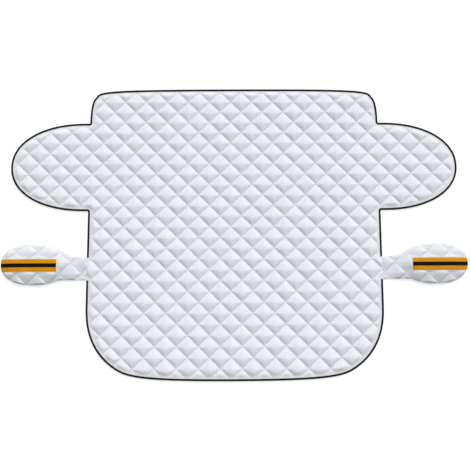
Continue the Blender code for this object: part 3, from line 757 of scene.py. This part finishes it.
# Mirror pockets: at each side a quilted front cut in one with its neck strap, and a shorter quilted
# back sewn to it round the edge, which leaves a mouth towards the cover for a door mirror.
POCKET_MIDDLE = NECK_MIDDLE + 0.018
POCKET_REACH, POCKET_HEIGHT = 0.364, 0.173
POCKET_TIP, POCKET_WIDEST = HALF_WIDTH + POCKET_REACH, HALF_WIDTH + 0.235
POCKET_STEP = 0.0025                 # between the outline's points
SEAM_ALLOWANCE = 0.0015
POCKET_RISE, POCKET_SOFTNESS, POCKET_SHOULDER = 0.014, 0.83, 0.085   # how it stands open
NECK_FLAT, POCKET_CLIMB = 0.020, 0.110
BAG_DEPTH, MOUTH_CURVE, ELASTIC_WIDTH, EDGE_MARGIN = 0.201, 0.014, 0.008, 0.002
ELASTIC_END_IN = 0.007               # from the pocket's sides
MOUTH_X = POCKET_TIP - BAG_DEPTH
BACK_PUFF_HEIGHT = 0.004
POCKET_PUFF_HEIGHT, POCKET_FADE = 0.0062, 0.005
POCKET_THREAD_IN = 0.004             # no stitch lies nearer to the pocket's edge
# the panel's fabric a little darker: painted shade that greys the pockets
POCKET_SHADED_COLOUR = (0.750, 0.770, 0.806)
WARNING_WIDTH, WARNING_LENGTH, WARNING_Y = 0.052, 0.2385, POCKET_MIDDLE - 0.003
PRESSED_PUFF, PRESSED_FADE = 0.003, 0.012   # under the warning tape, and round it


def pocket_outline():
    """The right pocket's front, clockwise from the top of the neck round to its lower edge: four
    cubic curves, whose handles are shares of the runs beside them, and a straight line."""
    top, low = POCKET_MIDDLE + POCKET_HEIGHT / 2, POCKET_MIDDLE - POCKET_HEIGHT / 2
    near = HALF_WIDTH + CLEARANCE
    far, run = POCKET_TIP - POCKET_WIDEST, POCKET_WIDEST - near
    neck_end = (near + 0.44 * run, NECK_LOW)
    upper = cubic((near, NECK_TOP), (0.58 * run, 0), (-0.66 * run, 0), (POCKET_WIDEST, top), 90)
    nose = cubic(upper[-1], (0.40 * far, 0), (0, 0.85 * (top - POCKET_MIDDLE)),
                 (POCKET_TIP, POCKET_MIDDLE), 70)
    chin = cubic(nose[-1], (0, 0.45 * (low - POCKET_MIDDLE)), (0.70 * far, 0), (POCKET_WIDEST, low), 70)
    lower = cubic(chin[-1], (-0.44 * run, 0), (0.17 * run, 0), neck_end, 60)
    neck = straight(neck_end, (near, NECK_LOW), 20)
    return even(np.vstack([upper, nose[1:], chin[1:], lower[1:], neck[1:]]), POCKET_STEP)


front_rim = pocket_outline()
neck_cut = straight(front_rim[-1], front_rim[0], 30)[1:-1]
front_loop = np.vstack([front_rim, neck_cut])[::-1]
front_edge = np.vstack([front_rim, neck_cut - NECK_BRIDGE])[::-1]
tip = int(front_rim[:, 0].argmax())
mouth_top = np.interp(MOUTH_X, front_rim[:tip, 0], front_rim[:tip, 1])
mouth_low = np.interp(MOUTH_X, front_rim[:tip:-1, 0], front_rim[:tip:-1, 1])
across = np.linspace(-1, 1, 61)
mouth = np.c_[MOUTH_X + MOUTH_CURVE * (1 - across ** 2),
              (mouth_top + mouth_low + (mouth_top - mouth_low) * across) / 2]
kept_rim = front_rim[front_rim[:, 0] > MOUTH_X + 0.02 * BAG_DEPTH]
back_loop = np.vstack([kept_rim, mouth])[::-1]
back_margin = ELASTIC_WIDTH + EDGE_MARGIN


def front_base(points, depth):
    """Inner face of the front. It lies on the back's sewn edge, bulges between the edges as if the
    pocket were just opened, and comes down to the panel's edge along the neck."""
    from_panel = points[:, 0] - HALF_WIDTH - NECK_FLAT
    mouth_distance = MOUTH_X - HALF_WIDTH - NECK_FLAT - EDGE_MARGIN
    rest = EDGE_LIFT + (EDGE_THICKNESS + CLEARANCE) * ease(from_panel / mouth_distance)
    within = (depth - SEAM_ALLOWANCE).clip(0, POCKET_SHOULDER)
    bulge = (1 - (1 - within / POCKET_SHOULDER) ** 2) ** POCKET_SOFTNESS
    return rest + POCKET_RISE * bulge * ease(from_panel / POCKET_CLIMB)


def front_top(crossing, seed, lean):
    """The height formula of a front's outer face, its puffs pressed down under the warning tape."""
    def top(points, depth):
        beside = np.abs(points[:, 1] - WARNING_Y) - WARNING_WIDTH / 2
        before = POCKET_TIP - WARNING_LENGTH - points[:, 0]
        pressed = 1 - ease(np.maximum(beside, before) / PRESSED_FADE)
        risen = ease((depth - SEAM_ALLOWANCE) / POCKET_FADE) * neck_seam(points)
        free = POCKET_PUFF_HEIGHT * puff(points, crossing, seed, lean)
        padding = risen * (pressed * PRESSED_PUFF + (1 - pressed) * free)
        return front_base(points, depth) + EDGE_THICKNESS + padding
    return top


def back_top(crossing, seed):
    """The height formula of a back's inner face, with flatter puffs."""
    def top(points, depth):
        risen = ease((depth - back_margin) / POCKET_FADE)
        return EDGE_TOP + BACK_PUFF_HEIGHT * risen * puff(points, crossing, seed)
    return top


def back_underside(points, depth):
    """Pressed flat on the ground, lifted where the elastic and the seam wrap the edge."""
    return EDGE_LIFT * (2 - depth / back_margin).clip(0, 1)


elastic_cloth = tape_cloth("black_elastic", (0.020, 0.020, 0.022), roughness=0.7, rib=0.0016,
                           height=0.0004)
elastic_path = mouth[(mouth[:, 1] > mouth_low + ELASTIC_END_IN)
                     & (mouth[:, 1] < mouth_top - ELASTIC_END_IN)]
pockets = []
for word, side, crossing, lean in (("right", 1, (0.817, -0.091), (0.85, 0.85)),
                                   ("left", -1, (0.834, -0.089), (-0.85, -0.70))):
    crossing = np.array(crossing)
    cloth = quilted_fabric(word + "_pocket_fabric", POCKET_SHADED_COLOUR, crossing, side)
    top = front_top(crossing, 21 + side, np.array(lean))
    front = quilted_sheet(word + "_quilted_front", front_loop, front_edge, SEAM_ALLOWANCE, crossing,
                          (stations(24), stations(10)), top, front_base, cloth, side)
    back = quilted_sheet(word + "_quilted_back", back_loop, back_loop, back_margin, crossing,
                         (stations(16), UNDER_CUTS), back_top(crossing, 31 + side), back_underside,
                         cloth, side)
    sewn = seam_stitches(word + "_pocket_thread", front_loop, front_edge, POCKET_THREAD_IN, crossing,
                         top, white_thread, side)
    elastic = swept_tape(word + "_elastic", elastic_path, folded_section(ELASTIC_WIDTH),
                         elastic_cloth, side, wander=0.0004)
    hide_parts(word + "_pocket_front")
    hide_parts(word + "_pocket_back")
    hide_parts(word + "_mouth_elastic")
    for piece, slot in ((front, "quilted_fabric"), (back, "quilted_fabric"), (sewn, "quilted_fabric"),
                        (elastic, "elastic")):
        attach(piece, "root")
    pockets.append((word, side, top, front, back, sewn))

# Warning tapes: an orange satin tape sewn flat across each pocket from its tip, and a narrow black
# tape sewn along its middle. Both end in the pocket's seam at the tip.
WARNING_THICKNESS, STRIPE_WIDTH, STRIPE_THICKNESS = 0.0008, 0.0163, 0.0006
ORANGE = (0.72, 0.28, 0.008)
STRIPE_BLACK = (0.005, 0.004, 0.003)
SATIN_WEAVE = 0.0005
WIDE_SEAM_IN = 0.0022                # from the orange tape's sides to its seam
TIP_CROWDING = 1.6                   # exponent that crowds a tape's corners towards the tip
TAPE_END_IN, THREAD_END_IN = 0.0007, 0.006   # from the pocket's edge and its tip
TAPE_WAVES = 0.00012
SEWN_PRESS, SEWN_SHARE = 0.5, 0.10   # how far the sides are pressed, over which share of the half
TAPE_THREAD_LIFT = 0.0001


def satin_tape(name, colour, roughness):
    """Satin tape: a fine slanting twill with a slight gloss, painted shade in the twill's hollows,
    faint lengthwise shading, and scuffs that dull it."""
    made, tree, shader = finish_of(name, colour, roughness)
    shader.inputs["Specular IOR Level"].default_value = 0.06
    where = node(tree, "TexCoord").outputs["Object"]
    turned = node(tree, "Mapping", {"Vector": where, "Rotation": (0, 0, math.radians(63)),
                                    "Scale": (1, 0.25, 1)}).outputs[0]
    twill = node(tree, "Group", {"Vector": turned, "Pitch": SATIN_WEAVE}, node_tree=weave).outputs
    drawn = node(tree, "Mapping", {"Vector": where, "Scale": (8, 60, 8)}).outputs[0]
    scuff = noise(tree, where, 140.0, 4.0)
    streaked = ranged(tree, noise(tree, drawn, 3.0, 3.0), 0.88, 1.10, 0.3, 0.7, clamp=False)
    # painted shade: up to 10 % darker in the twill's hollows
    twill_shade = ranged(tree, twill["Height"], 0.9, 1.03)
    shaded(tree, shader, colour, reckon(tree, "MULTIPLY", streaked, twill_shade))
    dulled = ranged(tree, scuff, roughness - 0.1, roughness + 0.15, 0.3, 0.7)
    tree.links.new(dulled, shader.inputs["Roughness"])
    relief(tree, shader, (scuff, 0.0002, 0.5), (twill["Height"], 0.00005, 0.5))
    return made


def laid_tape(name, surface, half_width, lift, thickness, finish, side):
    """A flat tape laid over a pocket: a grid from its near end to the pocket's edge, crowded towards
    the steep tip, lifted clear of the surface and closed with walls. Its long edges are pressed
    thinner where they are sewn."""
    nose = front_rim[front_rim[:, 0] > POCKET_WIDEST]
    nose = nose[nose[:, 1].argsort()]
    along = 1 - (1 - np.linspace(0, 1, 110)) ** TIP_CROWDING
    across = np.sin(np.linspace(-np.pi / 2, np.pi / 2, 25))
    u, v = np.meshgrid(along, across, indexing="ij")
    y = WARNING_Y + half_width * v
    near = POCKET_TIP - WARNING_LENGTH
    far = np.interp(y, nose[:, 1], nose[:, 0]) - TAPE_END_IN
    plan = np.dstack([near + u * (far - near), y]).reshape(-1, 2)
    wave = TAPE_WAVES * ripple(plan, 8, (0.05, 0.02))
    rest = surface(plan, reach_in(plan, front_loop).clip(0)) + wave
    pressed = SEWN_PRESS * ease((np.abs(v).ravel() - (1 - SEWN_SHARE)) / SEWN_SHARE)
    top, low = rest + lift + thickness * (1 - pressed), rest + lift
    corners = np.vstack([np.c_[plan, top], np.c_[plan, low]]) * (side, 1, 1)
    number = np.arange(u.size).reshape(u.shape)
    face = np.stack(squares(number), -1).reshape(-1, 4)
    rim = np.r_[number[:, 0], number[-1, 1:], number[-2::-1, -1], number[0, -2:0:-1]]
    ahead = np.roll(rim, -1)
    faces = np.vstack([face, face[:, ::-1] + u.size, np.c_[rim, rim + u.size, ahead + u.size, ahead]])
    made = put_piece(name, corners, faces[:, ::side], finish)
    made.data.set_sharp_from_angle(angle=math.radians(50))
    return made


orange_cloth = satin_tape("orange_warning_tape", ORANGE, roughness=0.5)
stripe_cloth = satin_tape("black_warning_stripe", STRIPE_BLACK, roughness=0.42)
orange_thread = thread("orange_thread", (0.62, 0.22, 0.012))
for word, side, surface, front, back, quilting in pockets:
    for name, half, lift, thickness, seam_in, finish, sewing in (
            ("warning_tape", WARNING_WIDTH / 2, CLEARANCE, WARNING_THICKNESS, WIDE_SEAM_IN,
             orange_cloth, orange_thread),
            ("warning_stripe", STRIPE_WIDTH / 2, 2 * CLEARANCE + WARNING_THICKNESS, STRIPE_THICKNESS,
             NARROW_SEAM_IN, stripe_cloth, black_thread)):
        tape = laid_tape(word + "_" + name + "_cloth", surface, half, lift, thickness, finish, side)
        near, far = POCKET_TIP - WARNING_LENGTH + seam_in, POCKET_TIP - THREAD_END_IN
        low, high = WARNING_Y - half + seam_in, WARNING_Y + half - seam_in
        line = np.vstack([straight((far, low), (near, low), 150), straight((near, low), (near, high), 40),
                          straight((near, high), (far, high), 150)])
        line = line[reach_in(line, front_loop) > POCKET_THREAD_IN]
        sewn = stitched_row(word + "_" + name + "_thread", line,
                            lambda spot: TAPE_THREAD_LIFT + lift + thickness
                            + surface(spot, reach_in(spot, front_loop)), sewing, side)
        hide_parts(word + "_" + name)
        for piece in (tape, sewn):
            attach(piece, "root")
